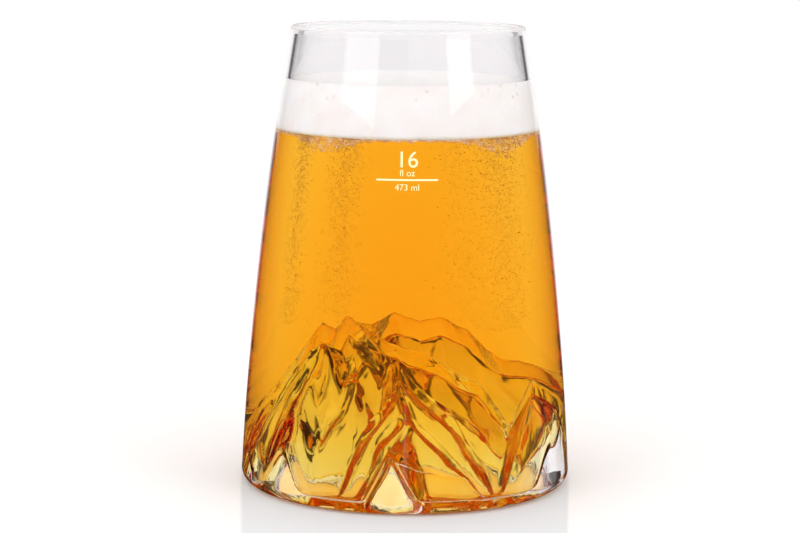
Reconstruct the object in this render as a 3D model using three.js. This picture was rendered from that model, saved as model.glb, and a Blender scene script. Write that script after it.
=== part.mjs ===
// Beer tumbler: a tapered glass whose floor is blown up into a hollow mountain, filled with beer under a head of foam.
// Millimetres, +Z up. The origin is the centre of the foot, on the table. The front, with the print, faces -Y.

import * as THREE from 'three';

// Glass wall
const HEIGHT = 140; // table to rim
const RIM_DIAMETER = 71; // outside, at the rim
const MIDDLE_DIAMETER = 90.6; // outside, half way up
const BASE_DIAMETER = 101.8; // outside, where the wall's line meets the table
const RIM_WALL = 2.2; // glass thickness at the rim
const BASE_WALL = 2.5; // glass thickness at the foot
const HEEL_RADIUS = 3.5; // outside round between wall and foot
const FOOT_THICKNESS = 1.1; // foot ring, whose top is the ledge that carries the floor
const FOOT_OPENING = 90; // diameter of the open middle of the foot ring

// Mountain floor
const VALLEY_LEVEL = 2.6; // lowest glass surface inside, above the table
const SUMMIT_LEVEL = 50.3; // highest summit, above the table
const FLOOR_THICKNESS = 1.8; // glass under the valleys
const SUMMIT_THICKNESS = 6; // glass under the highest summit, measured upright
const FLANK_SLOPE = 2.1; // fall of a flank for each millimetre away from its crest
const CREST_ROUND = 0.9; // softness of the crests, as the hot glass left them
const VALLEY_ROUND = 2.5; // softness of the gullies between two crests
const STEEPEST_LEAN = 0.95; // a crest never falls quite as fast as its flanks do
const FLOOR_ROUND = 3; // inside round between floor and wall
const HOLLOW_SHOULDER = 2.5; // width over which the hollow rises from the ledge to its full depth

// Fill
const HEADSPACE = 16; // rim to the foam's edge
const FOAM_DEPTH = 15; // at the wall
const FOAM_CROWN = 1.6; // rise of the foam's middle over its edge

// Fired print: a plain fill line on the front
const MARK_BELOW_RIM = 42.6; // rim to the middle of the line
const MARK_WIDTH = 18;
const MARK_HEIGHT = 0.8;
const MARK_THICKNESS = 0.15;

// Clearances
const SEAM = 0.3; // between pieces that are fused, wetted or seated on each other
const MARK_GAP = 0.05; // between the print and the wall

// Facets
const FACET_ANGLE = 5; // degrees round the axis
const RELIEF_RINGS = 18; // over the foot's opening, the same above and below
const WALL_STEPS = 9; // along the wall's height
const ROUND_STEPS = 4; // along a quarter of the heel and of the lip
const DRINK_STEPS = 5; // along the height of the beer and of the foam
const MARK_STEPS = 12;

// Levels and counts that follow from the sizes above
const LEDGE_LEVEL = FOOT_THICKNESS + SEAM;
const FOAM_TOP = HEIGHT - HEADSPACE;
const BEER_LEVEL = FOAM_TOP - FOAM_DEPTH;
const LIP_RADIUS = RIM_WALL / 2;
const SECTORS = Math.round(360 / FACET_ANGLE);

// Crest lines of the mountain. A point is x, y and rise, where x and y are shares of the floor's radius and rise is a
// share of the way from the valley to the summit.
const CRESTS = [
  // Summit ridge: left wall, left summit, saddle and main summit, then down to the right front
  [[-0.93, -0.27, 0.18], [-0.77, -0.23, 0.4], [-0.65, -0.19, 0.59], [-0.55, -0.15, 0.79], [-0.42, -0.11, 0.985],
    [-0.34, -0.06, 0.93], [-0.27, 0.04, 1], [-0.17, 0, 0.92], [-0.03, -0.02, 0.85], [0.18, -0.11, 0.75],
    [0.35, -0.21, 0.65], [0.46, -0.3, 0.51], [0.59, -0.38, 0.33], [0.7, -0.46, 0.13]],
  // Far ridge, from the main summit to the right wall
  [[-0.27, 0.04, 0.98], [-0.17, 0.22, 0.93], [-0.05, 0.34, 0.985], [0.06, 0.36, 0.92], [0.15, 0.35, 0.965],
    [0.25, 0.33, 0.9], [0.34, 0.3, 0.77], [0.42, 0.28, 0.71], [0.58, 0.24, 0.64], [0.8, 0.2, 0.55], [0.97, 0.16, 0.48]],
  // Front ribs, left to right
  [[-0.42, -0.11, 0.97], [-0.52, -0.25, 0.75], [-0.6, -0.42, 0.55], [-0.69, -0.62, 0.32], [-0.73, -0.67, 0.08]],
  [[-0.27, 0.03, 0.97], [-0.2, -0.08, 0.84], [-0.27, -0.19, 0.74], [-0.33, -0.34, 0.55], [-0.43, -0.46, 0.39],
    [-0.57, -0.59, 0.19], [-0.69, -0.7, 0]],
  [[-0.05, -0.3, 0.58], [-0.16, -0.44, 0.43], [-0.26, -0.55, 0.25], [-0.34, -0.7, 0]],
  [[-0.02, -0.4, 0.47], [-0.1, -0.53, 0.36], [-0.18, -0.63, 0.15], [-0.25, -0.78, 0]],
  [[-0.05, -0.03, 0.83], [-0.06, -0.13, 0.77], [-0.03, -0.27, 0.62], [0, -0.38, 0.5], [0.12, -0.49, 0.37],
    [0.27, -0.59, 0.21], [0.4, -0.7, 0]],
  [[-0.02, -0.18, 0.71], [0.2, -0.36, 0.49], [0.35, -0.51, 0.29], [0.45, -0.61, 0.05]],
  // Low hill at the front wall
  [[0.03, -0.45, 0.41], [-0.03, -0.62, 0.34], [-0.08, -0.8, 0.31], [-0.09, -0.99, 0.3], [0.07, -0.99, 0.22],
    [0.22, -0.97, 0.19], [0.36, -0.93, 0.17], [0.46, -0.88, 0.02]],
  // Right foot peak and its ribs
  [[0.97, -0.12, 0.44], [0.87, -0.2, 0.53], [0.71, -0.3, 0.66], [0.66, -0.42, 0.36], [0.6, -0.53, 0.13], [0.56, -0.6, 0]],
  [[0.71, -0.3, 0.65], [0.77, -0.41, 0.36], [0.77, -0.53, 0.02]],
  [[0.8, -0.25, 0.57], [0.86, -0.36, 0.3], [0.87, -0.45, 0.02]],
  // Far side ribs, left to right
  [[-0.58, -0.15, 0.72], [-0.7, 0.02, 0.46], [-0.8, 0.2, 0.2], [-0.88, 0.32, 0.02]],
  [[-0.3, 0.06, 0.94], [-0.48, 0.3, 0.55], [-0.62, 0.5, 0.24], [-0.72, 0.62, 0.02]],
  [[-0.17, 0.22, 0.9], [-0.22, 0.46, 0.5], [-0.28, 0.7, 0.2], [-0.32, 0.85, 0.02]],
  [[-0.03, 0.34, 0.94], [0.03, 0.55, 0.52], [0.08, 0.75, 0.2], [0.08, 0.9, 0.02]],
  [[0.17, 0.35, 0.93], [0.28, 0.55, 0.5], [0.35, 0.72, 0.18], [0.4, 0.83, 0.02]],
  [[0.5, 0.26, 0.64], [0.6, 0.45, 0.36], [0.68, 0.6, 0.1]],
  [[0.78, 0.2, 0.52], [0.85, 0.36, 0.2], [0.87, 0.45, 0.02]],
];

function outerRadius(z) {
  // The parabola through the three outside diameters
  const t = z / HEIGHT;
  const atBase = BASE_DIAMETER * (1 - t) * (1 - 2 * t);
  const atMiddle = MIDDLE_DIAMETER * 4 * t * (1 - t);
  const atRim = RIM_DIAMETER * t * (2 * t - 1);
  return (atBase + atMiddle + atRim) / 2;
}

function innerRadius(z) {
  return outerRadius(z) - THREE.MathUtils.lerp(BASE_WALL, RIM_WALL, z / HEIGHT);
}

// What fills the glass or lies in it stops a seam short of the wall
function fillRadius(z) {
  return innerRadius(z) - SEAM;
}

function steps(count, from, to) {
  const whole = Math.round(count);
  return Array.from({ length: whole + 1 }, (_, i) => THREE.MathUtils.lerp(from, to, i / whole));
}

// Height of one crest's mountain side over the point x, y: the crest's own height less the fall of its flank. The flank
// falls along its steepest line, so the foot of that line lies uphill of the nearest point on the crest.
function sideOf(crest, x, y, radius) {
  const rise = SUMMIT_LEVEL - VALLEY_LEVEL;
  let highest = -Infinity;
  for (let i = 0; i + 1 < crest.length; i += 1) {
    const [ax, ay, az] = crest[i];
    const [bx, by, bz] = crest[i + 1];
    const along = new THREE.Vector2(bx - ax, by - ay).multiplyScalar(radius);
    const point = new THREE.Vector2(x - ax * radius, y - ay * radius);
    const length = along.length();
    const lean = Math.min((rise * Math.abs(bz - az)) / length / FLANK_SLOPE, STEEPEST_LEAN);
    const uphill = (Math.sign(bz - az) * lean * Math.abs(point.cross(along))) / length / Math.sqrt(1 - lean * lean);
    const t = THREE.MathUtils.clamp((point.dot(along) / length + uphill) / length, 0, 1);
    const away = point.addScaledVector(along, -t).length();
    const fall = FLANK_SLOPE * (Math.hypot(away, CREST_ROUND) - CREST_ROUND);
    highest = Math.max(highest, VALLEY_LEVEL + rise * THREE.MathUtils.lerp(az, bz, t) - fall);
  }
  return highest;
}

function softMax(a, b) {
  const near = Math.max(VALLEY_ROUND - Math.abs(a - b), 0);
  return Math.max(a, b) + (near * near) / (4 * VALLEY_ROUND);
}

// Upper surface of the mountain floor over the point x, y
function relief(x, y) {
  const radius = fillRadius(VALLEY_LEVEL);
  const climb = Math.max(FLOOR_ROUND - (radius - Math.hypot(x, y)), 0);
  const floor = VALLEY_LEVEL + (climb * climb) / (2 * FLOOR_ROUND);
  return CRESTS.reduce((height, crest) => softMax(height, sideOf(crest, x, y, radius)), floor);
}

// Under surface of the mountain floor: flat on the ledge, then rising into the hollow
function underside(x, y) {
  const inward = FOOT_OPENING / 2 - Math.hypot(x, y);
  const share = THREE.MathUtils.smoothstep(inward, 0, HOLLOW_SHOULDER);
  const level = relief(x, y);
  const thickness = THREE.MathUtils.mapLinear(level, VALLEY_LEVEL, SUMMIT_LEVEL, FLOOR_THICKNESS, SUMMIT_THICKNESS);
  return THREE.MathUtils.lerp(LEDGE_LEVEL, level - thickness, share);
}

// The bearing is measured from the front, as LatheGeometry does once it is stood up
function place(bearing, radius) {
  return [radius * Math.sin(bearing), -radius * Math.cos(bearing)];
}

// A solid turned about Z whose half section changes with the bearing. The section is a list of [radius, z] with the same
// number of points at every bearing, and it starts and ends on the axis. Two solids that share a surface split it into
// the same triangles, whichever end their sections start from.
function turnedSolid(sectionAt) {
  const positions = [];
  const faces = [];
  const front = sectionAt(0);
  const count = front.length;
  const fromTop = front[0][1] > front[count - 1][1];
  const addFace = (a, b, c) => (fromTop ? faces.push(a, c, b) : faces.push(a, b, c));
  for (let s = 0; s < SECTORS; s += 1) {
    const bearing = (s / SECTORS) * 2 * Math.PI;
    for (const [radius, z] of sectionAt(bearing)) positions.push(...place(bearing, radius), z);
  }
  const vertex = (s, i) => {
    const onAxis = i === 0 || i === count - 1;
    return (onAxis ? 0 : s % SECTORS) * count + i;
  };
  for (let s = 0; s < SECTORS; s += 1) {
    for (let i = 0; i + 1 < count; i += 1) {
      const [a, b, c, d] = [vertex(s, i), vertex(s + 1, i), vertex(s + 1, i + 1), vertex(s, i + 1)];
      if (i > 0) addFace(a, b, c);
      if (i < count - 2) addFace(a, c, d);
    }
  }
  const geometry = new THREE.BufferGeometry();
  geometry.setAttribute('position', new THREE.Float32BufferAttribute(positions, 3));
  geometry.setIndex(faces);
  geometry.computeVertexNormals();
  return geometry;
}

function lathed(section) {
  const points = section.map(([radius, z]) => new THREE.Vector2(radius, z));
  return new THREE.LatheGeometry(points, SECTORS).rotateX(Math.PI / 2);
}

function arc(centreRadius, centreZ, radius, from, to, count) {
  return steps(count, from, to).map((a) => [centreRadius + radius * Math.cos(a), centreZ + radius * Math.sin(a)]);
}

// Blown wall with its fire-polished lip, its heel and the foot ring that stands on the table
function glassWallGeometry() {
  const heelCentre = outerRadius(HEEL_RADIUS) - HEEL_RADIUS;
  const lipLevel = HEIGHT - LIP_RADIUS;
  const lipCentre = (outerRadius(lipLevel) + innerRadius(lipLevel)) / 2;
  const outside = steps(WALL_STEPS, HEEL_RADIUS, lipLevel).slice(1, -1).map((z) => [outerRadius(z), z]);
  const inside = steps(WALL_STEPS, lipLevel, FOOT_THICKNESS).slice(1).map((z) => [innerRadius(z), z]);
  const section = [
    [FOOT_OPENING / 2, 0],
    ...arc(heelCentre, HEEL_RADIUS, HEEL_RADIUS, -Math.PI / 2, 0, ROUND_STEPS),
    ...outside,
    ...arc(lipCentre, lipLevel, LIP_RADIUS, 0, Math.PI, 2 * ROUND_STEPS),
    ...inside,
    [FOOT_OPENING / 2, FOOT_THICKNESS],
    [FOOT_OPENING / 2, 0],
  ];
  return lathed(section);
}

// Height at which the relief meets the wall on one bearing
function reliefEdge(bearing) {
  let radius = fillRadius(VALLEY_LEVEL);
  for (let tries = 0; tries < 8; tries += 1) radius = fillRadius(relief(...place(bearing, radius)));
  return relief(...place(bearing, radius));
}

// Relief from the axis out to the wall, lifted by a clearance
function reliefSection(bearing, lift) {
  const edgeLevel = reliefEdge(bearing);
  const rings = steps(RELIEF_RINGS, 0, FOOT_OPENING / 2);
  return [
    ...rings.map((radius) => [radius, relief(...place(bearing, radius)) + lift]),
    [fillRadius(edgeLevel + lift), edgeLevel + lift],
  ];
}

// Moulded floor that seats on the ledge, with the mountain above and its hollow below
function mountainFloorGeometry() {
  return turnedSolid((bearing) => {
    const hollow = steps(RELIEF_RINGS, FOOT_OPENING / 2, 0);
    const under = [
      [fillRadius(LEDGE_LEVEL), LEDGE_LEVEL],
      ...hollow.map((radius) => [radius, underside(...place(bearing, radius))]),
    ];
    return [...reliefSection(bearing, 0), ...under];
  });
}

// Beer from the mountain up to the foam
function beerGeometry() {
  return turnedSolid((bearing) => {
    const shore = reliefSection(bearing, SEAM);
    const [, shoreLevel] = shore[shore.length - 1];
    const side = steps(DRINK_STEPS, shoreLevel, BEER_LEVEL).slice(1).map((z) => [fillRadius(z), z]);
    return [...shore, ...side, [0, BEER_LEVEL]];
  });
}

// Head of foam, a little higher in the middle than at the wall
function foamHeadGeometry() {
  const foot = BEER_LEVEL + SEAM;
  const side = steps(DRINK_STEPS, foot, FOAM_TOP).map((z) => [fillRadius(z), z]);
  const crown = steps(DRINK_STEPS, 1, 0).slice(1).map((share) => {
    return [fillRadius(FOAM_TOP) * share, FOAM_TOP + FOAM_CROWN * (1 - share * share)];
  });
  return lathed([[0, foot], ...side, ...crown]);
}

// Fired fill line, bent round the front of the wall
function fillMarkGeometry() {
  const foot = HEIGHT - MARK_BELOW_RIM - MARK_HEIGHT / 2;
  const inner = outerRadius(foot) + MARK_GAP;
  const half = MARK_WIDTH / 2 / inner;
  const front = -Math.PI / 2;
  const shape = new THREE.Shape();
  shape.absarc(0, 0, inner + MARK_THICKNESS, front - half, front + half, false);
  shape.absarc(0, 0, inner, front + half, front - half, true);
  const bar = new THREE.ExtrudeGeometry(shape, { depth: MARK_HEIGHT, bevelEnabled: false, curveSegments: MARK_STEPS });
  return bar.translate(0, 0, foot);
}

function piece(name, geometry, finish) {
  const mesh = new THREE.Mesh(geometry, new THREE.MeshStandardMaterial({ metalness: 0, ...finish }));
  mesh.name = name;
  return mesh;
}

const clearGlass = { color: 0xeef1f2, roughness: 0.03, transparent: true, opacity: 0.3 };
const tumbler = new THREE.Group();
tumbler.name = 'beer_tumbler';
tumbler.add(
  piece('glass_wall', glassWallGeometry(), clearGlass),
  piece('mountain_floor', mountainFloorGeometry(), clearGlass),
  piece('beer', beerGeometry(), { color: 0xf5a21d, roughness: 0.05, transparent: true, opacity: 0.75 }),
  piece('foam_head', foamHeadGeometry(), { color: 0xf9f1ec, roughness: 0.85 }),
  piece('fill_mark', fillMarkGeometry(), { color: 0xfdf6c4, roughness: 0.5 }),
);

export default tumbler;
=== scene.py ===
import math
import random

import bpy
import numpy as np
from mathutils import Euler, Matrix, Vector, noise


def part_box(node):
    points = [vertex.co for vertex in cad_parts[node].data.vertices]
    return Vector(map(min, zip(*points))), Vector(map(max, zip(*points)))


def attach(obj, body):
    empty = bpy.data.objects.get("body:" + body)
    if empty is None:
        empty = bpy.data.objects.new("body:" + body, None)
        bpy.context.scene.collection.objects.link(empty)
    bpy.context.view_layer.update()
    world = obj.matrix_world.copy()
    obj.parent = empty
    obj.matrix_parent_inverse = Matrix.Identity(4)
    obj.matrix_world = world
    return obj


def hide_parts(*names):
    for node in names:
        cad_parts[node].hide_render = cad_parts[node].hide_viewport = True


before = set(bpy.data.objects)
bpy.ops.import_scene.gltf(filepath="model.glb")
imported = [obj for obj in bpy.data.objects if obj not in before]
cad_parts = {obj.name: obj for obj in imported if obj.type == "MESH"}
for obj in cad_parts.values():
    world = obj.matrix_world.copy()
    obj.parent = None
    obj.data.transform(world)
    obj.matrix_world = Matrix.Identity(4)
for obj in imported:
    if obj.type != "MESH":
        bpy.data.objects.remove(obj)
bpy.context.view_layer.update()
scene = bpy.context.scene
scene.view_settings.view_transform = "Standard"
light_bounces = 64
scene.cycles.max_bounces = light_bounces
scene.cycles.transmission_bounces = light_bounces
scene.cycles.glossy_bounces = light_bounces


# Camera: a short telephoto about five glass heights away, a little above the rim and tipped down.
camera_distance = 0.6965
camera_data = bpy.data.cameras.new("camera")
camera_data.sensor_width = 36.0
camera_data.lens = 102.85
camera = bpy.data.objects.new("camera", camera_data)
camera.location = (0.0, -camera_distance, 0.1698)
camera_tip = Euler((math.radians(90.0 - 8.48), 0.0, math.radians(0.165)))
camera_roll = Euler((0.0, 0.0, math.radians(0.45)))
camera.rotation_mode = "QUATERNION"
camera.rotation_quaternion = camera_tip.to_quaternion() @ camera_roll.to_quaternion()
scene.collection.objects.link(camera)
scene.camera = camera


# Tumbler: the blown wall and the floor pressed up into a mountain are one piece of clear soda glass.
# The wall bows slightly and leans in towards a fire-polished lip. The mountain is hollow, and open to
# the table through the foot ring.
wall_points = np.array([v.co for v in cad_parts["glass_wall"].data.vertices])
wall_levels = wall_points[:, 2]
wall_radii = np.hypot(wall_points[:, 0], wall_points[:, 1])
rim_level = wall_levels.max()
foot_opening = wall_radii[wall_levels < 0.001].min()
upright = (wall_levels > 0.01) & (wall_levels < rim_level - 0.004)
middle_line = np.polyfit(wall_levels[upright], wall_radii[upright], 2)
is_outside = wall_radii > np.polyval(middle_line, wall_levels)
outside_line = np.polyfit(wall_levels[upright & is_outside], wall_radii[upright & is_outside], 2)
inside_line = np.polyfit(wall_levels[upright & ~is_outside], wall_radii[upright & ~is_outside], 2)

heel_radius = 0.0035
foot_round = 0.0005
floor_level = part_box("beer")[0].z - 0.0003
summit_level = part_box("mountain_floor")[1].z
floor_thickness = 0.0018
summit_thickness = 0.006
hollow_shoulder = 0.0025
beer_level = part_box("beer")[1].z
foam_edge_level = rim_level - 0.016
sectors = 288
floor_rings = 118
hollow_rings = 80

# Crest lines of the mountain. Each point has x and y as shares of the floor's radius, and its rise as
# a share of the way from the valley to the summit.
crests = [
    # Summit ridge: left wall, left summit, saddle and main summit, then down to the right front
    [(-0.93, -0.27, 0.18), (-0.77, -0.23, 0.4), (-0.65, -0.19, 0.59), (-0.55, -0.15, 0.79),
     (-0.42, -0.11, 0.985), (-0.34, -0.06, 0.93), (-0.27, 0.04, 1), (-0.17, 0, 0.92),
     (-0.03, -0.02, 0.85), (0.18, -0.11, 0.75), (0.35, -0.21, 0.65), (0.46, -0.3, 0.51),
     (0.59, -0.38, 0.33), (0.7, -0.46, 0.13)],
    # Far ridge, from the main summit to the right wall
    [(-0.27, 0.04, 0.98), (-0.17, 0.22, 0.93), (-0.05, 0.34, 0.985), (0.06, 0.36, 0.92),
     (0.15, 0.35, 0.965), (0.25, 0.33, 0.9), (0.34, 0.3, 0.77), (0.42, 0.28, 0.71), (0.58, 0.24, 0.64),
     (0.8, 0.2, 0.55), (0.97, 0.16, 0.48)],
    # Front ribs, left to right
    [(-0.42, -0.11, 0.97), (-0.52, -0.25, 0.75), (-0.6, -0.42, 0.55), (-0.69, -0.62, 0.32),
     (-0.73, -0.67, 0.08)],
    [(-0.27, 0.03, 0.97), (-0.2, -0.08, 0.84), (-0.27, -0.19, 0.74), (-0.33, -0.34, 0.55),
     (-0.43, -0.46, 0.39), (-0.57, -0.59, 0.19), (-0.69, -0.7, 0)],
    [(-0.05, -0.3, 0.58), (-0.16, -0.44, 0.43), (-0.26, -0.55, 0.25), (-0.34, -0.7, 0)],
    [(-0.02, -0.4, 0.47), (-0.1, -0.53, 0.36), (-0.18, -0.63, 0.15), (-0.25, -0.78, 0)],
    [(-0.05, -0.03, 0.83), (-0.06, -0.13, 0.77), (-0.03, -0.27, 0.62), (0, -0.38, 0.5),
     (0.12, -0.49, 0.37), (0.27, -0.59, 0.21), (0.4, -0.7, 0)],
    [(-0.02, -0.18, 0.71), (0.2, -0.36, 0.49), (0.35, -0.51, 0.29), (0.45, -0.61, 0.05)],
    # Low hill at the front wall
    [(0.03, -0.45, 0.41), (-0.03, -0.62, 0.34), (-0.08, -0.8, 0.31), (-0.09, -0.99, 0.3),
     (0.07, -0.99, 0.22), (0.22, -0.97, 0.19), (0.36, -0.93, 0.17), (0.46, -0.88, 0.02)],
    # Right foot peak and its ribs
    [(0.97, -0.12, 0.44), (0.87, -0.2, 0.53), (0.71, -0.3, 0.66), (0.66, -0.42, 0.36),
     (0.6, -0.53, 0.13), (0.56, -0.6, 0)],
    [(0.71, -0.3, 0.65), (0.77, -0.41, 0.36), (0.77, -0.53, 0.02)],
    [(0.8, -0.25, 0.57), (0.86, -0.36, 0.3), (0.87, -0.45, 0.02)],
    # Far side ribs, left to right
    [(-0.58, -0.15, 0.72), (-0.7, 0.02, 0.46), (-0.8, 0.2, 0.2), (-0.88, 0.32, 0.02)],
    [(-0.3, 0.06, 0.94), (-0.48, 0.3, 0.55), (-0.62, 0.5, 0.24), (-0.72, 0.62, 0.02)],
    [(-0.17, 0.22, 0.9), (-0.22, 0.46, 0.5), (-0.28, 0.7, 0.2), (-0.32, 0.85, 0.02)],
    [(-0.03, 0.34, 0.94), (0.03, 0.55, 0.52), (0.08, 0.75, 0.2), (0.08, 0.9, 0.02)],
    [(0.17, 0.35, 0.93), (0.28, 0.55, 0.5), (0.35, 0.72, 0.18), (0.4, 0.83, 0.02)],
    [(0.5, 0.26, 0.64), (0.6, 0.45, 0.36), (0.68, 0.6, 0.1)],
    [(0.78, 0.2, 0.52), (0.85, 0.36, 0.2), (0.87, 0.45, 0.02)],
]
flank_slope = 2.1
steepest_lean = 0.95
crest_round = 0.0009
valley_round = 0.0025
floor_round = 0.003
waver = 0.0013
waver_scale = 110.0
crag_height = 0.0007
crag_reach = 0.002
crag_scale = 300.0
crag_stretch = 0.3
crag_on_flank = 0.35
crag_on_crest = 1.2
same_place = 1e-6
noise.seed_set(3)


def inside_radius(level):
    return np.polyval(inside_line, level)


def outside_radius(level):
    return np.polyval(outside_line, level)


def smooth_share(value, low, high):
    share = np.clip((value - low) / (high - low), 0.0, 1.0)
    return share * share * (3.0 - 2.0 * share)


def crest_side(crest, x, y):
    """Height of one crest's mountain side over each point, and the distance from the crest.

    The flank falls along its steepest line, and that line leaves the crest uphill of the nearest point.
    """
    radius = inside_radius(floor_level)
    highest = np.full(x.shape, -1.0)
    distance = np.full(x.shape, 1.0)
    for (ax, ay, a_rise), (bx, by, b_rise) in zip(crest[:-1], crest[1:]):
        along_x = (bx - ax) * radius
        along_y = (by - ay) * radius
        point_x = x - ax * radius
        point_y = y - ay * radius
        length = math.hypot(along_x, along_y)
        lean = (b_rise - a_rise) * (summit_level - floor_level) / length / flank_slope
        lean = max(-steepest_lean, min(steepest_lean, lean))
        beside = np.abs(point_x * along_y - point_y * along_x) / length
        uphill = beside * lean / math.sqrt(1.0 - lean ** 2)
        share = np.clip(((point_x * along_x + point_y * along_y) / length + uphill) / length, 0.0, 1.0)
        away = np.hypot(point_x - share * along_x, point_y - share * along_y)
        fall = flank_slope * (np.hypot(away, crest_round) - crest_round)
        rise = (a_rise + (b_rise - a_rise) * share) * (summit_level - floor_level)
        highest = np.maximum(highest, floor_level + rise - fall)
        distance = np.minimum(distance, away)
    return highest, distance


def relief(x, y):
    """Smooth mountain over each point before its crags, and the distance from the nearest crest."""
    waves = [noise.noise_vector(Vector((px, py, 0.0)) * waver_scale) for px, py in zip(x, y)]
    bent_x = x + waver * np.array([wave.x for wave in waves])
    bent_y = y + waver * np.array([wave.y for wave in waves])
    climb = np.maximum(floor_round - (inside_radius(floor_level) - np.hypot(x, y)), 0.0)
    height = floor_level + climb ** 2 / (2.0 * floor_round)
    distance = np.full(x.shape, 1.0)
    for crest in crests:
        side, away = crest_side(crest, bent_x, bent_y)
        near = np.maximum(valley_round - np.abs(height - side), 0.0)
        distance = np.where(side > height, away, distance)
        height = np.maximum(height, side) + near * near / (4.0 * valley_round)
    return height, distance


def crags(x, y, height, distance, shift):
    """Small folds that the mould left along the crests, none on the valley floor or at the wall."""
    folds = np.empty(x.shape)
    for i in range(len(x)):
        place = Vector((crag_stretch * x[i], crag_stretch * y[i], distance[i] + shift)) * crag_scale
        folds[i] = noise.fractal(place, 0.9, 2.1, 3, noise_basis="PERLIN_ORIGINAL")
    steep = smooth_share(height, floor_level + 0.001, floor_level + 0.008)
    inward = smooth_share(inside_radius(height) - np.hypot(x, y), 0.0005, 0.006)
    along_crest = crag_on_flank + crag_on_crest * np.exp(-((distance / crag_reach) ** 2))
    return crag_height * folds * along_crest * steep * inward


def relief_edge(bearing_x, bearing_y):
    """Radius and height at which the mountain meets the wall on each bearing."""
    radius = np.full(bearing_x.shape, inside_radius(floor_level))
    for _ in range(8):
        radius = inside_radius(relief(radius * bearing_x, radius * bearing_y)[0])
    return radius, relief(radius * bearing_x, radius * bearing_y)[0]


def spin_section(name, section):
    """A closed turned mesh from a half section that starts and ends on the axis."""
    bpy.ops.object.select_all(action="DESELECT")
    mesh = bpy.data.meshes.new(name)
    points = [(r, 0.0, z) for r, z in section]
    mesh.from_pydata(points, [(i, i + 1) for i in range(len(section) - 1)], [])
    piece = bpy.data.objects.new(name, mesh)
    scene.collection.objects.link(piece)
    bpy.context.view_layer.objects.active = piece
    piece.select_set(True)
    bpy.ops.object.modifier_add(type="SCREW")
    screw = piece.modifiers[-1]
    screw.steps = screw.render_steps = sectors
    screw.use_merge_vertices = True
    screw.merge_threshold = same_place
    bpy.ops.object.modifier_apply(modifier=screw.name)
    bpy.ops.object.mode_set(mode="EDIT")
    bpy.ops.mesh.select_all(action="SELECT")
    bpy.ops.mesh.remove_doubles(threshold=same_place)
    bpy.ops.mesh.normals_make_consistent(inside=False)
    bpy.ops.object.mode_set(mode="OBJECT")
    bpy.ops.object.shade_smooth()
    return piece


def raise_mountain(piece, lift, clearance):
    """Pushes a turned mesh's flat floor up into the mountain, and the wall's rings up off its edge."""
    mesh = piece.data
    places = np.empty(len(mesh.vertices) * 3)
    mesh.vertices.foreach_get("co", places)
    places = places.reshape(-1, 3)
    x, y, z = places.T
    radius = np.hypot(x, y)
    far = np.maximum(radius, 1e-9)
    bearings = np.arange(sectors) * 2.0 * math.pi / sectors
    sector = np.round(np.arctan2(y, x) * sectors / (2.0 * math.pi)).astype(int) % sectors
    edge_radius, edge_level = (edge[sector] for edge in relief_edge(np.cos(bearings), np.sin(bearings)))
    flat_radius = inside_radius(floor_level)
    on_floor = (np.abs(z - floor_level) < same_place) & (radius < flat_radius + same_place)
    on_wall = np.abs(radius - inside_radius(z)) < same_place
    on_wall &= (z > floor_level + same_place) & (z < beer_level + same_place)
    stretch = edge_radius[on_floor] / flat_radius
    x[on_floor] *= stretch
    y[on_floor] *= stretch
    smooth, distance = relief(x[on_floor], y[on_floor])
    z[on_floor] = smooth + crags(x[on_floor], y[on_floor], smooth, distance, 0.0) + lift
    up = (z[on_wall] - floor_level) / (beer_level - floor_level)
    new_level = edge_level[on_wall] + lift + up * (beer_level - edge_level[on_wall] - lift)
    turn = inside_radius(new_level) / radius[on_wall]
    x[on_wall] *= turn
    y[on_wall] *= turn
    z[on_wall] = new_level
    inset = np.where(on_floor | on_wall, clearance, 0.0)
    shrink = 1.0 - inset * np.clip(radius / flat_radius, 0.0, 1.0) / far
    x *= shrink
    y *= shrink
    mesh.vertices.foreach_set("co", np.column_stack((x, y, z)).ravel())
    mesh.update()


def arc_points(centre_radius, centre_level, radius, start, end, count):
    angles = np.linspace(math.radians(start), math.radians(end), count)
    return [(centre_radius + radius * math.cos(a), centre_level + radius * math.sin(a)) for a in angles]


hollow_level = 0.0008
lip_radius = (outside_radius(rim_level) - inside_radius(rim_level)) / 2.0
lip_level = rim_level - lip_radius
lip_centre = (outside_radius(lip_level) + inside_radius(lip_level)) / 2.0
heel_centre = outside_radius(heel_radius) - heel_radius
floor_line = [(r, floor_level) for r in np.linspace(0.0, inside_radius(floor_level), floor_rings + 1)]
wet_line = [(inside_radius(z), z) for z in np.linspace(floor_level, beer_level, 33)[1:]]
foamy_line = [(inside_radius(z), z) for z in np.linspace(beer_level, foam_edge_level, 9)[1:]]
dry_line = [(inside_radius(z), z) for z in np.linspace(foam_edge_level, lip_level, 8)[1:-1]]
lip_line = arc_points(lip_centre, lip_level, lip_radius, 180.0, 0.0, 13)
side_line = [(outside_radius(z), z) for z in np.linspace(lip_level, heel_radius, 40)[1:-1]]
heel_line = arc_points(heel_centre, heel_radius, heel_radius, 0.0, -90.0, 12)
foot_line = arc_points(foot_opening + foot_round, foot_round, foot_round, -90.0, -180.0, 5)
hollow_line = [(r, hollow_level) for r in np.linspace(foot_opening, 0.0, hollow_rings + 1)]
tumbler_inside = floor_line + wet_line + foamy_line + dry_line + lip_line
tumbler = spin_section("tumbler", tumbler_inside + side_line + heel_line + foot_line + hollow_line)
raise_mountain(tumbler, 0.0, 0.0)

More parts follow.
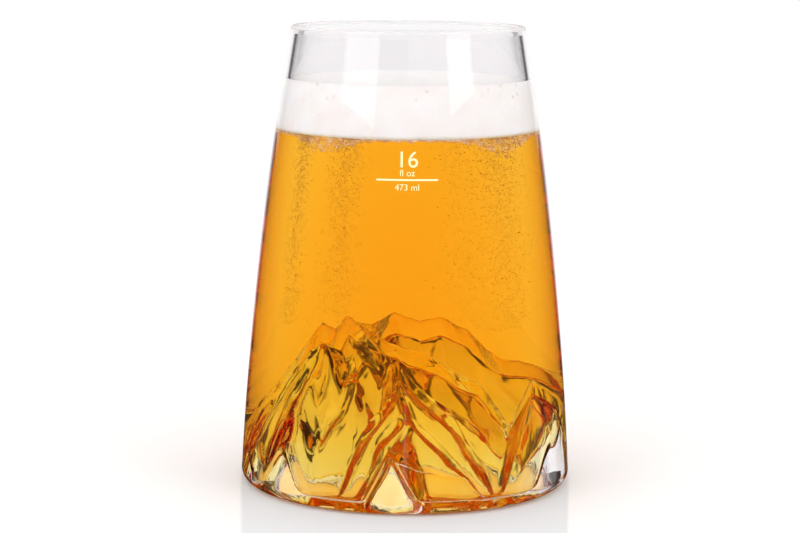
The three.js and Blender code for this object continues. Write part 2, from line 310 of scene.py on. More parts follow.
# The hollow follows the mountain from below, at the glass's thickness, with folds of its own. It runs
# out flat at the foot ring.
under_shift = 0.02
tumbler_points = np.empty(len(tumbler.data.vertices) * 3)
tumbler.data.vertices.foreach_get("co", tumbler_points)
tumbler_points = tumbler_points.reshape(-1, 3)
under = np.abs(tumbler_points[:, 2] - hollow_level) < same_place
under &= np.hypot(tumbler_points[:, 0], tumbler_points[:, 1]) < foot_opening + same_place
under_x = tumbler_points[under, 0]
under_y = tumbler_points[under, 1]
under_smooth, under_distance = relief(under_x, under_y)
under_rise = (under_smooth - floor_level) / (summit_level - floor_level)
under_depth = floor_thickness + (summit_thickness - floor_thickness) * under_rise
under_folds = crags(under_x, under_y, under_smooth, under_distance, under_shift)
under_full = under_smooth + under_folds - under_depth
under_share = smooth_share(foot_opening - np.hypot(under_x, under_y), 0.0, hollow_shoulder)
tumbler_points[under, 2] = hollow_level + (under_full - hollow_level) * under_share
tumbler.data.vertices.foreach_set("co", tumbler_points.ravel())
tumbler.data.update()


def glass_finish(name, refraction, thin_tint, thick_tint, grazing_shade):
    """Clear glass with a faint uneven cast, and a painted shade in a tint of its own where the eye looks
    along it.
    """
    material = bpy.data.materials.new(name)
    material.use_nodes = True
    nodes = material.node_tree.nodes
    links = material.node_tree.links
    glass = nodes["Principled BSDF"]
    glass.inputs["Roughness"].default_value = 0.0
    glass.inputs["Transmission Weight"].default_value = 1.0
    glass.inputs["IOR"].default_value = refraction
    where = nodes.new("ShaderNodeTexCoord")
    cast = nodes.new("ShaderNodeTexNoise")
    cast.inputs["Scale"].default_value = 18.0
    tint = nodes.new("ShaderNodeValToRGB")
    tint.color_ramp.elements[0].color = thick_tint
    tint.color_ramp.elements[1].color = thin_tint
    links.new(where.outputs["Object"], cast.inputs["Vector"])
    links.new(cast.outputs["Fac"], tint.inputs["Fac"])
    # Painted shade: where the eye looks along the surface, the glass takes the grazing shade tint.
    along = nodes.new("ShaderNodeLayerWeight")
    reach = nodes.new("ShaderNodeMapRange")
    reach.inputs["From Min"].default_value = 0.7
    reach.inputs["From Max"].default_value = 0.86
    shade = nodes.new("ShaderNodeMix")
    shade.data_type = "RGBA"
    shade.inputs["B"].default_value = grazing_shade
    links.new(along.outputs["Facing"], reach.inputs["Value"])
    links.new(reach.outputs["Result"], shade.inputs["Factor"])
    links.new(tint.outputs["Color"], shade.inputs["A"])
    links.new(shade.outputs["Result"], glass.inputs["Base Color"])
    return material


# Where beer or foam wets the glass, light bends only by the difference between the two. The mountain
# also takes on the beer's colour. The lip is melted round after the cut. Its glass is partly milky
# white, a painted highlight for the light it catches from above, and grey where the eye looks along it,
# a painted shade.
clear_thin = (0.995, 0.987, 0.991, 1.0)
clear_thick = (0.978, 0.965, 0.97, 1.0)
amber_thin = (1.0, 0.95, 0.48, 1.0)
amber_thick = (1.0, 0.91, 0.36, 1.0)
dry_thin = (0.94, 0.93, 0.935, 1.0)
dry_thick = (0.9, 0.885, 0.89, 1.0)
lip_grazing_shade = (0.74, 0.72, 0.73, 1.0)
dry_bend = 1.5
wet_bend = 1.5 / 1.333
lip_highlight_finish = glass_finish("fire-polished lip", dry_bend, dry_thin, dry_thick, lip_grazing_shade)
# Painted highlight: less transmission gives the lip a milky white surface, in place of the light it
# reflects from above.
lip_highlight_finish.node_tree.nodes["Principled BSDF"].inputs["Transmission Weight"].default_value = 0.6
lip_highlight_finish.node_tree.nodes["Principled BSDF"].inputs["Roughness"].default_value = 0.25
tumbler_finishes = (
    glass_finish("clear glass", dry_bend, clear_thin, clear_thick, clear_thin),
    glass_finish("clear glass under beer", wet_bend, clear_thin, clear_thick, clear_thin),
    glass_finish("mountain under beer", wet_bend, amber_thin, amber_thick, amber_thick),
    glass_finish("dry inside", dry_bend, dry_thin, dry_thick, dry_thick),
    lip_highlight_finish,
)
for finish in tumbler_finishes:
    tumbler.data.materials.append(finish)
wet_wall, under_beer, dry_inside, on_lip = range(1, 5)
wall_slack = 0.0006
for face in tumbler.data.polygons:
    centre = face.center
    reach = math.hypot(centre.x, centre.y)
    facing_in = face.normal.x * centre.x + face.normal.y * centre.y < 0.0
    at_wall = abs(reach - inside_radius(centre.z)) < wall_slack and facing_in
    within_wall = reach < inside_radius(centre.z) + wall_slack
    in_relief = floor_level - 0.0005 < centre.z < summit_level + 0.001
    if at_wall and centre.z < lip_level:
        face.material_index = wet_wall if centre.z < foam_edge_level else dry_inside
    if centre.z > lip_level:
        face.material_index = on_lip
    if within_wall and in_relief and face.normal.z > 0.05:
        face.material_index = under_beer
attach(tumbler, "root")
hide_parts("glass_wall", "mountain_floor")


# Beer: filtered amber lager, clear enough to see the mountain through. It lies against the glass all
# round. Its colour is in its depth, so a short way through it is yellow and a long way is orange.
beer_lift = 0.0001
beer_inset = 0.00005
beer_top = [(inside_radius(beer_level) * s, beer_level) for s in np.linspace(1.0, 0.0, 9)[1:]]
beer = spin_section("beer-pour", floor_line + wet_line + beer_top)
raise_mountain(beer, beer_lift, beer_inset)
beer_amber = bpy.data.materials.new("amber beer")
beer_amber.use_nodes = True
beer_nodes = beer_amber.node_tree.nodes
beer_links = beer_amber.node_tree.links
beer_surface = beer_nodes["Principled BSDF"]
beer_surface.inputs["Roughness"].default_value = 0.0
beer_surface.inputs["Transmission Weight"].default_value = 1.0
beer_surface.inputs["IOR"].default_value = 1.0
beer_where = beer_nodes.new("ShaderNodeTexCoord")
beer_cloud = beer_nodes.new("ShaderNodeTexNoise")
beer_cloud.inputs["Scale"].default_value = 40.0
beer_tint = beer_nodes.new("ShaderNodeValToRGB")
beer_tint.color_ramp.elements[0].color = (1.0, 0.985, 0.95, 1.0)
beer_tint.color_ramp.elements[1].color = (1.0, 1.0, 1.0, 1.0)
beer_links.new(beer_where.outputs["Object"], beer_cloud.inputs["Vector"])
beer_links.new(beer_cloud.outputs["Fac"], beer_tint.inputs["Fac"])
# Painted shade: where the eye looks along the beer's surface it turns a deeper amber, darker towards its
# edges.
beer_along = beer_nodes.new("ShaderNodeLayerWeight")
beer_reach = beer_nodes.new("ShaderNodeMapRange")
beer_reach.inputs["From Min"].default_value = 0.25
beer_reach.inputs["From Max"].default_value = 0.33
beer_edge_shade = beer_nodes.new("ShaderNodeMix")
beer_edge_shade.data_type = "RGBA"
beer_edge_shade.inputs["B"].default_value = (0.96, 0.82, 0.5, 1.0)
beer_links.new(beer_along.outputs["Facing"], beer_reach.inputs["Value"])
beer_links.new(beer_reach.outputs["Result"], beer_edge_shade.inputs["Factor"])
beer_links.new(beer_tint.outputs["Color"], beer_edge_shade.inputs["A"])
beer_links.new(beer_edge_shade.outputs["Result"], beer_surface.inputs["Base Color"])
beer_depth = beer_nodes.new("ShaderNodeVolumeAbsorption")
beer_depth.inputs["Color"].default_value = (0.987, 0.805, 0.0, 1.0)
beer_depth.inputs["Density"].default_value = 60.0
beer_links.new(beer_depth.outputs["Volume"], beer_nodes["Material Output"].inputs["Volume"])
beer.data.materials.append(beer_amber)
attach(beer, "root")
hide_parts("beer")


# Foam head: a dense white froth of fine bubbles that the pour left on the beer. It fills the glass from
# wall to wall and stands a little higher in the middle, with pinholes where larger bubbles burst,
# painted darker for the shade in them.
foam_gap = 0.0001
foam_low = beer_level - 0.0005
foam_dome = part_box("foam_head")[1].z - foam_edge_level
foam_low_radius = inside_radius(beer_level) - foam_gap
foam_edge_radius = inside_radius(foam_edge_level) - foam_gap
foam_under = [(foam_low_radius * s, foam_low) for s in np.linspace(0.0, 1.0, 6)[:-1]]
foam_side = [(inside_radius(z) - foam_gap, z) for z in np.linspace(foam_low, foam_edge_level, 14)]
foam_crown = []
for share in np.linspace(1.0, 0.0, 40)[1:]:
    foam_crown.append((foam_edge_radius * share, foam_edge_level + foam_dome * (1.0 - share * share)))
foam = spin_section("foam-head", foam_under + foam_side + foam_crown)
froth = bpy.data.materials.new("white froth")
froth.use_nodes = True
froth_nodes = froth.node_tree.nodes
froth_links = froth.node_tree.links
froth_surface = froth_nodes["Principled BSDF"]
froth_surface.inputs["Roughness"].default_value = 0.75
froth_surface.inputs["Subsurface Weight"].default_value = 0.5
froth_surface.inputs["Subsurface Radius"].default_value = (1.0, 0.7, 0.5)
froth_surface.inputs["Subsurface Scale"].default_value = 0.002
froth_where = froth_nodes.new("ShaderNodeTexCoord")
froth_cells = froth_nodes.new("ShaderNodeTexVoronoi")
froth_cells.inputs["Scale"].default_value = 900.0
froth_bump = froth_nodes.new("ShaderNodeBump")
froth_bump.inputs["Strength"].default_value = 0.25
froth_bump.inputs["Distance"].default_value = 0.0003
froth_patches = froth_nodes.new("ShaderNodeTexNoise")
froth_patches.inputs["Scale"].default_value = 160.0
froth_tint = froth_nodes.new("ShaderNodeValToRGB")
froth_tint.color_ramp.elements[0].position = 0.3
froth_tint.color_ramp.elements[0].color = (0.94, 0.888, 0.865, 1.0)
froth_tint.color_ramp.elements[1].position = 0.65
froth_tint.color_ramp.elements[1].color = (0.965, 0.938, 0.922, 1.0)
froth_links.new(froth_where.outputs["Object"], froth_cells.inputs["Vector"])
froth_links.new(froth_where.outputs["Object"], froth_patches.inputs["Vector"])
froth_links.new(froth_cells.outputs["Distance"], froth_bump.inputs["Height"])
froth_links.new(froth_bump.outputs["Normal"], froth_surface.inputs["Normal"])
froth_links.new(froth_patches.outputs["Fac"], froth_tint.inputs["Fac"])
# Painted shade: pinholes in clusters, darker tan where the holes are shaded.
froth_pits = froth_nodes.new("ShaderNodeTexVoronoi")
froth_pits.inputs["Scale"].default_value = 420.0
froth_pit = froth_nodes.new("ShaderNodeMapRange")
froth_pit.inputs["From Min"].default_value = 0.3
froth_pit.inputs["From Max"].default_value = 0.1
froth_clusters = froth_nodes.new("ShaderNodeTexNoise")
froth_clusters.inputs["Scale"].default_value = 70.0
froth_cluster = froth_nodes.new("ShaderNodeMapRange")
froth_cluster.inputs["From Min"].default_value = 0.5
froth_cluster.inputs["From Max"].default_value = 0.62
froth_pinhole_shade = froth_nodes.new("ShaderNodeMath")
froth_pinhole_shade.operation = "MULTIPLY"
froth_shade = froth_nodes.new("ShaderNodeMix")
froth_shade.data_type = "RGBA"
froth_shade.inputs["B"].default_value = (0.74, 0.65, 0.59, 1.0)
froth_links.new(froth_where.outputs["Object"], froth_pits.inputs["Vector"])
froth_links.new(froth_where.outputs["Object"], froth_clusters.inputs["Vector"])
froth_links.new(froth_pits.outputs["Distance"], froth_pit.inputs["Value"])
froth_links.new(froth_clusters.outputs["Fac"], froth_cluster.inputs["Value"])
froth_links.new(froth_pit.outputs["Result"], froth_pinhole_shade.inputs[0])
froth_links.new(froth_cluster.outputs["Result"], froth_pinhole_shade.inputs[1])
froth_links.new(froth_pinhole_shade.outputs["Value"], froth_shade.inputs["Factor"])
froth_links.new(froth_tint.outputs["Color"], froth_shade.inputs["A"])
froth_links.new(froth_shade.outputs["Result"], froth_surface.inputs["Base Color"])
foam.data.materials.append(froth)
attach(foam, "root")
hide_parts("foam_head")


# Gas beads: bubbles that cling to the wall in streaks under the foam and thin out downwards. Each is
# drawn as an opaque brown speck, a painted shade for the light that a real bubble bends away from the
# eye.
bead_draw = random.Random(8)
bpy.ops.object.select_all(action="DESELECT")
bpy.ops.mesh.primitive_ico_sphere_add(subdivisions=1, radius=1.0)
bead_model = bpy.context.object
bead_points = np.array([vertex.co for vertex in bead_model.data.vertices])
bead_faces = np.array([face.vertices for face in bead_model.data.polygons])
bpy.data.objects.remove(bead_model)


def bead_cloud(name, beads):
    """One mesh of many beads, each with its bearing from the front, level, inset and radius."""
    bearing, level, inset, size = np.array(beads).T
    reach = inside_radius(level) - inset
    centres = np.column_stack((reach * np.sin(bearing), -reach * np.cos(bearing), level))
    points = centres[:, None, :] + bead_points[None, :, :] * size[:, None, None]
    faces = bead_faces[None, :, :] + np.arange(len(beads))[:, None, None] * len(bead_points)
    mesh = bpy.data.meshes.new(name)
    mesh.from_pydata(points.reshape(-1, 3).tolist(), [], faces.reshape(-1, 3).tolist())
    mesh.shade_smooth()
    cloud = bpy.data.objects.new(name, mesh)
    scene.collection.objects.link(cloud)
    return cloud


def bead_finish(name, dark, pale, scale):
    """Beads whose tone differs from one to the next."""
    material = bpy.data.materials.new(name)
    material.use_nodes = True
    nodes = material.node_tree.nodes
    links = material.node_tree.links
    surface = nodes["Principled BSDF"]
    surface.inputs["Roughness"].default_value = 0.35
    where = nodes.new("ShaderNodeTexCoord")
    tone = nodes.new("ShaderNodeTexNoise")
    tone.inputs["Scale"].default_value = scale
    tint = nodes.new("ShaderNodeValToRGB")
    tint.color_ramp.elements[0].position = 0.35
    tint.color_ramp.elements[0].color = dark
    tint.color_ramp.elements[1].position = 0.65
    tint.color_ramp.elements[1].color = pale
    links.new(where.outputs["Object"], tone.inputs["Vector"])
    links.new(tone.outputs["Fac"], tint.inputs["Fac"])
    links.new(tint.outputs["Color"], surface.inputs["Base Color"])
    return material


# Each streak is a bearing in degrees from the front, a spread and a number of beads
gas_streaks = (
    (-50, 6, 1500), (-27, 9, 1800), (42, 15, 2600), (22, 9, 500), (165, 12, 150), (-140, 14, 150),
)
bead_inset = 0.0002
gas_depth = 0.056
gas_beads = []
for middle, spread, count in gas_streaks:
    for _ in range(count):
        bearing = math.radians(bead_draw.gauss(middle, spread / 2.0))
        level = beer_level - 0.0005 - gas_depth * bead_draw.random() ** 1.7
        size = bead_draw.uniform(0.00008, 0.00015)
        gas_beads.append((bearing, level, size + bead_inset, size))
gas = bead_cloud("gas-beads", gas_beads)
# Painted shade: the brown of the beads, from dark to pale.
gas_bead_shade_dark = (0.2, 0.085, 0.012, 1.0)
gas_bead_shade_pale = (0.5, 0.25, 0.045, 1.0)
gas.data.materials.append(bead_finish("gas beads", gas_bead_shade_dark, gas_bead_shade_pale, 1500.0))
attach(gas, "root")


# Froth fringe: larger bubbles that hang under the head along the wall, thin at the front and thicker in
# ragged clusters. They are wet with beer, so they look tan rather than white. Each cluster is a bearing
# in degrees from the front, a spread and a depth.
fringe_clusters = (
    (-38, 13, 0.0052), (46, 15, 0.006), (110, 20, 0.004), (-115, 25, 0.004), (175, 20, 0.005),
)
fringe_thin = 0.001
fringe_count = 5200
fringe_beads = []
for _ in range(fringe_count):
    degrees = bead_draw.uniform(-180.0, 180.0)
    depth = fringe_thin
    for middle, spread, reach in fringe_clusters:
        depth += reach * math.exp(-(((degrees - middle) / spread) ** 2))
    depth *= 0.75 + 0.6 * noise.noise(Vector((0.35 * degrees, 0.0, 0.0)))
    size = bead_draw.uniform(0.00012, 0.0003)
    level = beer_level - size - depth * bead_draw.random() ** 1.3
    fringe_beads.append((math.radians(degrees), level, size + bead_inset, size))
fringe = bead_cloud("froth-fringe", fringe_beads)
fringe_dark = (0.6, 0.31, 0.16, 1.0)
fringe_pale = (0.93, 0.72, 0.58, 1.0)
fringe.data.materials.append(bead_finish("wet froth", fringe_dark, fringe_pale, 700.0))
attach(fringe, "root")


# Print: a cream enamel fill line, screened on the front of the wall and fired, with the volume up to it
# in plain figures. The enamel stands a tenth of a millimetre off the glass.
mark_low, mark_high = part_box("fill_mark")
mark_level = (mark_low.z + mark_high.z) / 2.0
mark_width = 0.018
mark_height = 0.0005
mark_thickness = 0.0001
mark_gap = 0.00006
# Each line of figures has its size and its height over the fill line
mark_lines = (("16", 0.0066, 0.0036), ("fl oz", 0.0026, 0.0011), ("473 ml", 0.0026, -0.003))


def bend_on_wall(piece, level):
    """Lays a flat piece, drawn in x and y, on the front of the wall at a level."""
    for vertex in piece.data.vertices:
        across, up, out = vertex.co
        reach = outside_radius(level + up) + mark_gap + out
        turn = across / reach
        vertex.co = (reach * math.sin(turn), -reach * math.cos(turn), level + up)


bpy.ops.object.select_all(action="DESELECT")
bpy.ops.mesh.primitive_grid_add(x_subdivisions=24, y_subdivisions=1, size=1.0)
print_rule = bpy.context.object
print_rule.name = "print-fill-line"
for vertex in print_rule.data.vertices:
    vertex.co = (vertex.co.x * mark_width, vertex.co.y * mark_height, 0.0)
bpy.ops.object.modifier_add(type="SOLIDIFY")
print_rule.modifiers[-1].thickness = mark_thickness
print_rule.modifiers[-1].offset = 1.0
bpy.ops.object.modifier_apply(modifier=print_rule.modifiers[-1].name)
bend_on_wall(print_rule, mark_level)
print_words = []
for words, size, base in mark_lines:
    bpy.ops.object.select_all(action="DESELECT")
    bpy.ops.object.text_add()
    line = bpy.context.object
    line.data.body = words
    line.data.size = size
    line.data.align_x = "CENTER"
    line.data.extrude = mark_thickness / 2.0
    bpy.ops.object.convert(target="MESH")
    line = bpy.context.object
    bend_on_wall(line, mark_level + base)
    print_words.append(line)
bpy.ops.object.select_all(action="DESELECT")
for line in print_words:
    line.select_set(True)
print_rule.select_set(True)
bpy.context.view_layer.objects.active = print_rule
bpy.ops.object.join()
enamel = bpy.data.materials.new("cream enamel")
enamel.use_nodes = True
enamel_nodes = enamel.node_tree.nodes
enamel_links = enamel.node_tree.links
enamel_surface = enamel_nodes["Principled BSDF"]
enamel_surface.inputs["Roughness"].default_value = 0.4
enamel_where = enamel_nodes.new("ShaderNodeTexCoord")
enamel_grain = enamel_nodes.new("ShaderNodeTexNoise")
enamel_grain.inputs["Scale"].default_value = 3000.0
enamel_tint = enamel_nodes.new("ShaderNodeValToRGB")
enamel_tint.color_ramp.elements[0].color = (0.93, 0.86, 0.44, 1.0)
enamel_tint.color_ramp.elements[1].color = (1.0, 0.97, 0.58, 1.0)
enamel_links.new(enamel_where.outputs["Object"], enamel_grain.inputs["Vector"])
enamel_links.new(enamel_grain.outputs["Fac"], enamel_tint.inputs["Fac"])
enamel_links.new(enamel_tint.outputs["Color"], enamel_surface.inputs["Base Color"])
print_rule.data.materials.clear()
print_rule.data.materials.append(enamel)
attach(print_rule, "root")
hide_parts("fill_mark")


# Table: a glossy white board that the glass stands on, drawn without gloss of its own. It is white to
# the eye, with a pale grey patch before the glass as a painted reflection: the board's mirror image of
# the glass there.
bpy.ops.object.select_all(action="DESELECT")
bpy.ops.mesh.primitive_plane_add(size=6.0, location=(0.0, 0.0, -0.0002))
table = bpy.context.object
table.name = "table"
table_white = bpy.data.materials.new("white table")
table_white.use_nodes = True
table_tree = table_white.node_tree
table_surface = table_tree.nodes["Principled BSDF"]
table_surface.inputs["Roughness"].default_value = 0.6
table_surface.inputs["Specular IOR Level"].default_value = 0.0
table_path = table_tree.nodes.new("ShaderNodeLightPath").outputs
table_where = table_tree.nodes.new("ShaderNodeTexCoord").outputs["Object"]


def stage_math(tree, operation, first, second=0.0):
    """A sum in a shader of the stage: of two outputs, or of an output and a number."""
    node = tree.nodes.new("ShaderNodeMath")
    node.operation = operation
    for socket, value in zip(node.inputs, (first, second)):
        if isinstance(value, float):
            socket.default_value = value
        else:
            tree.links.new(value, socket)
    return node.outputs["Value"]


def stage_fade(tree, value, full, none, top=1.0, base=0.0):
    """The top level where a value reaches full, falling smoothly to the base level at none."""
    node = tree.nodes.new("ShaderNodeMapRange")
    node.interpolation_type = "SMOOTHSTEP"
    node.inputs["From Min"].default_value = none
    node.inputs["From Max"].default_value = full
    node.inputs["To Min"].default_value = base
    node.inputs["To Max"].default_value = top
    tree.links.new(value, node.inputs["Value"])
    return node.outputs["Result"]


def stage_mix(tree, kind, factor, first, second):
    """A step between two colours or two levels, each an output or a constant."""
    node = tree.nodes.new("ShaderNodeMix")
    node.data_type = kind
    tree.links.new(factor, node.inputs["Factor"])
    for name, value in (("A", first), ("B", second)):
        if isinstance(value, (float, tuple)):
            node.inputs[name].default_value = value
        else:
            tree.links.new(value, node.inputs[name])
    return node.outputs["Result"]


# How many glass surfaces a ray crosses on its way: two for one wall, four for both walls over the foam,
# six with the beer between them, and more through the mountain
past_one_wall = 2.5
past_both_walls = 4.5
past_beer = 7.5
table_sharp = stage_math(table_tree, "LESS_THAN", table_path["Diffuse Depth"], 0.5)
table_seen = stage_math(table_tree, "MULTIPLY", table_path["Is Transmission Ray"], table_sharp)
table_deep = stage_math(table_tree, "GREATER_THAN", table_path["Transmission Depth"], past_one_wall)
table_through = stage_math(table_tree, "MULTIPLY", table_seen, table_deep)
table_crossed = stage_math(table_tree, "GREATER_THAN", table_path["Transmission Depth"], past_beer)
table_in_mountain = stage_math(table_tree, "MULTIPLY", table_crossed, table_through)
table_axes = table_tree.nodes.new("ShaderNodeSeparateXYZ")
table_tree.links.new(table_where, table_axes.inputs["Vector"])
table_y = table_axes.outputs["Y"]
table_reach = table_tree.nodes.new("ShaderNodeVectorMath")
table_reach.operation = "LENGTH"
table_tree.links.new(table_where, table_reach.inputs[0])
table_far = stage_math(table_tree, "GREATER_THAN", table_reach.outputs["Value"], 0.8)

# Painted shade through the mountain: a dark spot on the table to its left, dark only to rays that
# crossed the mountain
table_spot_distance = table_tree.nodes.new("ShaderNodeVectorMath")
table_spot_distance.operation = "DISTANCE"
table_spot_distance.inputs[1].default_value = (-0.075, 0.045, 0.0)
table_tree.links.new(table_where, table_spot_distance.inputs[0])
table_spot_area = stage_fade(table_tree, table_spot_distance.outputs["Value"], 0.03, 0.04)
table_spot_shade = stage_math(table_tree, "MULTIPLY", table_spot_area, table_in_mountain)

# Painted shade through any glass: far behind on each side a strip of the table is dark, but only to rays
# that come
# through glass. Painted reflection: in mirror images the table is dark, but for a strip straight behind
# the glass.
table_aside = stage_math(table_tree, "ABSOLUTE", table_axes.outputs["X"])
table_ahead = stage_math(table_tree, "MAXIMUM", table_y, 0.01)
table_slant = stage_math(table_tree, "DIVIDE", table_aside, table_ahead)
table_straight = stage_fade(table_tree, table_slant, 0.24, 0.3)
table_slanted = stage_fade(table_tree, table_slant, 0.7, 0.85)
table_strip = stage_math(table_tree, "SUBTRACT", table_slanted, table_straight)
table_far_side = stage_math(table_tree, "MULTIPLY", table_far, table_strip)
table_strip_shade = stage_math(table_tree, "MULTIPLY", table_far_side, table_through)
table_shade_through_glass = stage_math(table_tree, "MAXIMUM", table_spot_shade, table_strip_shade)
table_mirrored = stage_math(table_tree, "MULTIPLY", table_path["Is Reflection Ray"], table_sharp)
table_frontal = stage_fade(table_tree, table_slant, 0.3, 0.6)
table_sideways = stage_math(table_tree, "SUBTRACT", 1.0, table_frontal)
table_mirror_shade = stage_math(table_tree, "MULTIPLY", table_mirrored, table_sideways)
table_shade_share = stage_math(table_tree, "MAXIMUM", table_shade_through_glass, table_mirror_shade)

# The painted reflection widens away from the camera as a mirror image does, and stops short in front
table_near = stage_math(table_tree, "ADD", table_y, camera_distance)
table_across = stage_math(table_tree, "DIVIDE", table_aside, table_near)
table_block = stage_fade(table_tree, table_across, 0.0725, 0.0745)
table_before = stage_fade(table_tree, table_y, -0.01, 0.02)
table_at_eye = stage_fade(table_tree, table_y, -0.2, -0.13)
table_short = stage_math(table_tree, "SUBTRACT", table_before, table_at_eye)
table_reflection_area = stage_math(table_tree, "MULTIPLY", table_block, table_short)
table_painted_reflection = (0.81, 0.84, 0.86, 1.0)
table_bare = stage_mix(table_tree, "RGBA", table_reflection_area, (1.0, 1.0, 1.0, 1.0), table_painted_reflection)

# Painted shade: the table is a darker white where it is seen through the glass, against the stronger
# light
# that falls behind glass. Painted light: a warm glow that the table emits in the hollow under the
# mountain.
table_shaded_near = (0.57, 0.57, 0.57, 1.0)
table_shaded_far = (0.537, 0.532, 0.537, 1.0)
table_shade_colour = (0.035, 0.025, 0.02, 1.0)
table_shaded_tone = stage_mix(table_tree, "RGBA", table_far, table_shaded_near, table_shaded_far)
table_behind = stage_mix(table_tree, "RGBA", table_through, table_bare, table_shaded_tone)
# Painted shade: the table takes a near-black colour where it is seen through glass or in mirror images
# as above.
table_colour = stage_mix(table_tree, "RGBA", table_shade_share, table_behind, table_shade_colour)
table_tree.links.new(table_colour, table_surface.inputs["Base Color"])
# Painted glow: under the mountain the table emits warm light of its own, seen only through glass, for
# light that the beer lets through.
painted_glow_amber = (1.0, 0.68, 0.32, 1.0)
painted_glow_pale = (1.0, 0.87, 0.74, 1.0)
glow_strength = 0.52
table_hollow = stage_fade(table_tree, table_reach.outputs["Value"], 0.042, 0.048)
table_under = stage_math(table_tree, "MULTIPLY", table_hollow, table_seen)
table_glow_level = stage_math(table_tree, "MULTIPLY", table_under, glow_strength)
table_tree.links.new(table_glow_level, table_surface.inputs["Emission Strength"])
table_front = stage_fade(table_tree, table_y, -0.046, -0.034)
table_painted_glow = stage_mix(table_tree, "RGBA", table_front, painted_glow_amber, painted_glow_pale)
table_tree.links.new(table_painted_glow, table_surface.inputs["Emission Color"])
table.data.materials.append(table_white)


# Room: a white studio. To the eye and to the table it is plain white. Glass shows a bright wall behind
# it between dark side walls, with a bright ceiling, and mirrors a dim room in front.
room = bpy.data.worlds.new("room")
scene.world = room
room.use_nodes = True
room_tree = room.node_tree
room_light = room_tree.nodes["Background"]
room_light.inputs["Color"].default_value = (1.0, 1.0, 1.0, 1.0)
room_path = room_tree.nodes.new("ShaderNodeLightPath").outputs
room_where = room_tree.nodes.new("ShaderNodeTexCoord")
room_axes = room_tree.nodes.new("ShaderNodeSeparateXYZ")
room_tree.links.new(room_where.outputs["Generated"], room_axes.inputs["Vector"])
room_rise = room_axes.outputs["Z"]
room_bearing = stage_math(room_tree, "ARCTAN2", room_axes.outputs["X"], room_axes.outputs["Y"])
room_astern = stage_math(room_tree, "ABSOLUTE", room_bearing)

# Each tone of the walls has its bearing in degrees from straight behind the glass
wall_tones = (
    (-180, 0.8), (-110, 0.8), (-90, 0.04), (-26, 0.04), (-21, 1.0),
    (22, 1.0), (27, 0.04), (100, 0.04), (115, 0.8), (180, 0.8),
)
room_turn = stage_math(room_tree, "DIVIDE", room_bearing, 2.0 * math.pi)
room_walls = room_tree.nodes.new("ShaderNodeValToRGB")
room_tree.links.new(stage_math(room_tree, "ADD", room_turn, 0.5), room_walls.inputs["Fac"])
wall_ramp = room_walls.color_ramp.elements
for degrees, tone in wall_tones[1:-1]:
    wall_ramp.new((degrees + 180.0) / 360.0).color = (tone, tone, tone, 1.0)
for end, (degrees, tone) in ((0, wall_tones[0]), (-1, wall_tones[-1])):
    wall_ramp[end].color = (tone, tone, tone, 1.0)

# Low down the side walls turn bright towards the front, and high on the left a dark flag hangs before
# the bright wall
flag_tone = 0.06
room_low = stage_fade(room_tree, room_rise, 0.28, 0.36)
room_strips = stage_fade(room_tree, room_astern, 1.5, 0.6, 0.95)
room_low_side = stage_math(room_tree, "MULTIPLY", room_strips, room_low)
room_sides = stage_math(room_tree, "MAXIMUM", room_low_side, room_walls.outputs["Color"])
room_high = stage_fade(room_tree, room_rise, 0.28, 0.18)
room_left = stage_fade(room_tree, room_bearing, -0.12, 0.0)
room_flag = stage_math(room_tree, "MULTIPLY", room_high, room_left)
room_wall = stage_mix(room_tree, "FLOAT", room_flag, room_sides, flag_tone)

# The bright ceiling comes down lower on the left
room_lower = stage_fade(room_tree, room_rise, 0.56, 0.42)
room_port = stage_fade(room_tree, room_bearing, -0.45, -0.2)
room_corner = stage_math(room_tree, "MULTIPLY", room_lower, room_port)
room_top = stage_fade(room_tree, room_rise, 0.92, 0.8)
room_ceiling = stage_math(room_tree, "MAXIMUM", room_corner, room_top)
room_view = stage_mix(room_tree, "FLOAT", room_ceiling, room_wall, 1.0)

# Through the empty part of the glass the bright wall is wider, so its dark edges are narrow
room_shallow = stage_math(room_tree, "LESS_THAN", room_path["Transmission Depth"], past_both_walls)
room_wide = stage_fade(room_tree, room_astern, 0.48, 0.54, 0.95)
room_empty = stage_math(room_tree, "MULTIPLY", room_shallow, room_wide)
room_clear = stage_math(room_tree, "MAXIMUM", room_view, room_empty)

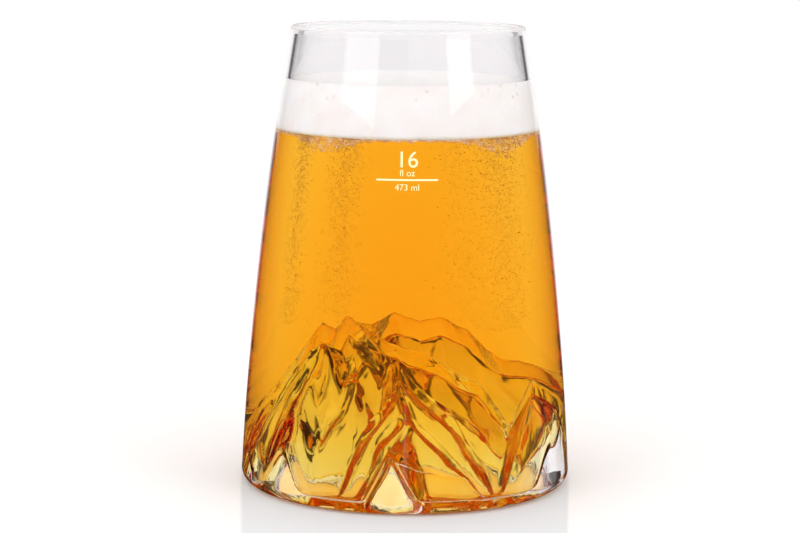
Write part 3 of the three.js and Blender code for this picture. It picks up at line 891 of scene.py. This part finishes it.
# Mirror images show a dim room under a bright ceiling, with the bright wall behind
room_overhead = stage_fade(room_tree, room_rise, 0.6, 0.3, 1.0, 0.04)
room_backdrop = stage_fade(room_tree, room_astern, 0.4, 0.7)
room_bright = stage_math(room_tree, "MAXIMUM", room_overhead, room_backdrop)
room_mirrored = stage_mix(room_tree, "FLOAT", room_path["Is Reflection Ray"], room_clear, room_bright)
room_seen = stage_mix(room_tree, "FLOAT", room_path["Is Camera Ray"], room_mirrored, 1.0)

# The light that falls on rough surfaces is plain, and stronger on what stands behind glass
lit_through_glass = 1.9
room_diffuse = stage_math(room_tree, "GREATER_THAN", room_path["Diffuse Depth"], 0.5)
room_inside = stage_math(room_tree, "GREATER_THAN", room_path["Transmission Depth"], past_one_wall)
room_lift = stage_fade(room_tree, room_inside, 1.0, 0.0, lit_through_glass, 1.0)
room_looked_at = stage_math(room_tree, "ADD", room_path["Is Camera Ray"], room_path["Is Reflection Ray"])
room_through = stage_math(room_tree, "ADD", room_looked_at, room_path["Is Transmission Ray"])
room_direct = stage_math(room_tree, "LESS_THAN", room_through, 0.5)
room_plain = stage_math(room_tree, "MAXIMUM", room_diffuse, room_direct)
room_level = stage_mix(room_tree, "FLOAT", room_plain, room_seen, room_lift)
room_tree.links.new(room_level, room_light.inputs["Strength"])


# Lamps: two tall soft boxes in front, one on each side, whose reflections run down the wall as streaks.
# Each has its place across, its height and its width.
soft_boxes = (("soft-box-left", -0.5, 0.515, 0.5), ("soft-box-right", 0.58, 0.535, 0.38))
for lamp_name, lamp_x, lamp_z, lamp_width in soft_boxes:
    lamp_data = bpy.data.lights.new(lamp_name, "AREA")
    lamp_data.shape = "RECTANGLE"
    lamp_data.size = lamp_width
    lamp_data.size_y = 0.56
    lamp_data.energy = 1.1
    lamp = bpy.data.objects.new(lamp_name, lamp_data)
    lamp.location = (lamp_x, -0.5, lamp_z)
    lamp_aim = Vector((0.0, 0.0, 0.1)) - lamp.location
    lamp.rotation_euler = lamp_aim.to_track_quat("-Z", "Y").to_euler()
    scene.collection.objects.link(lamp)
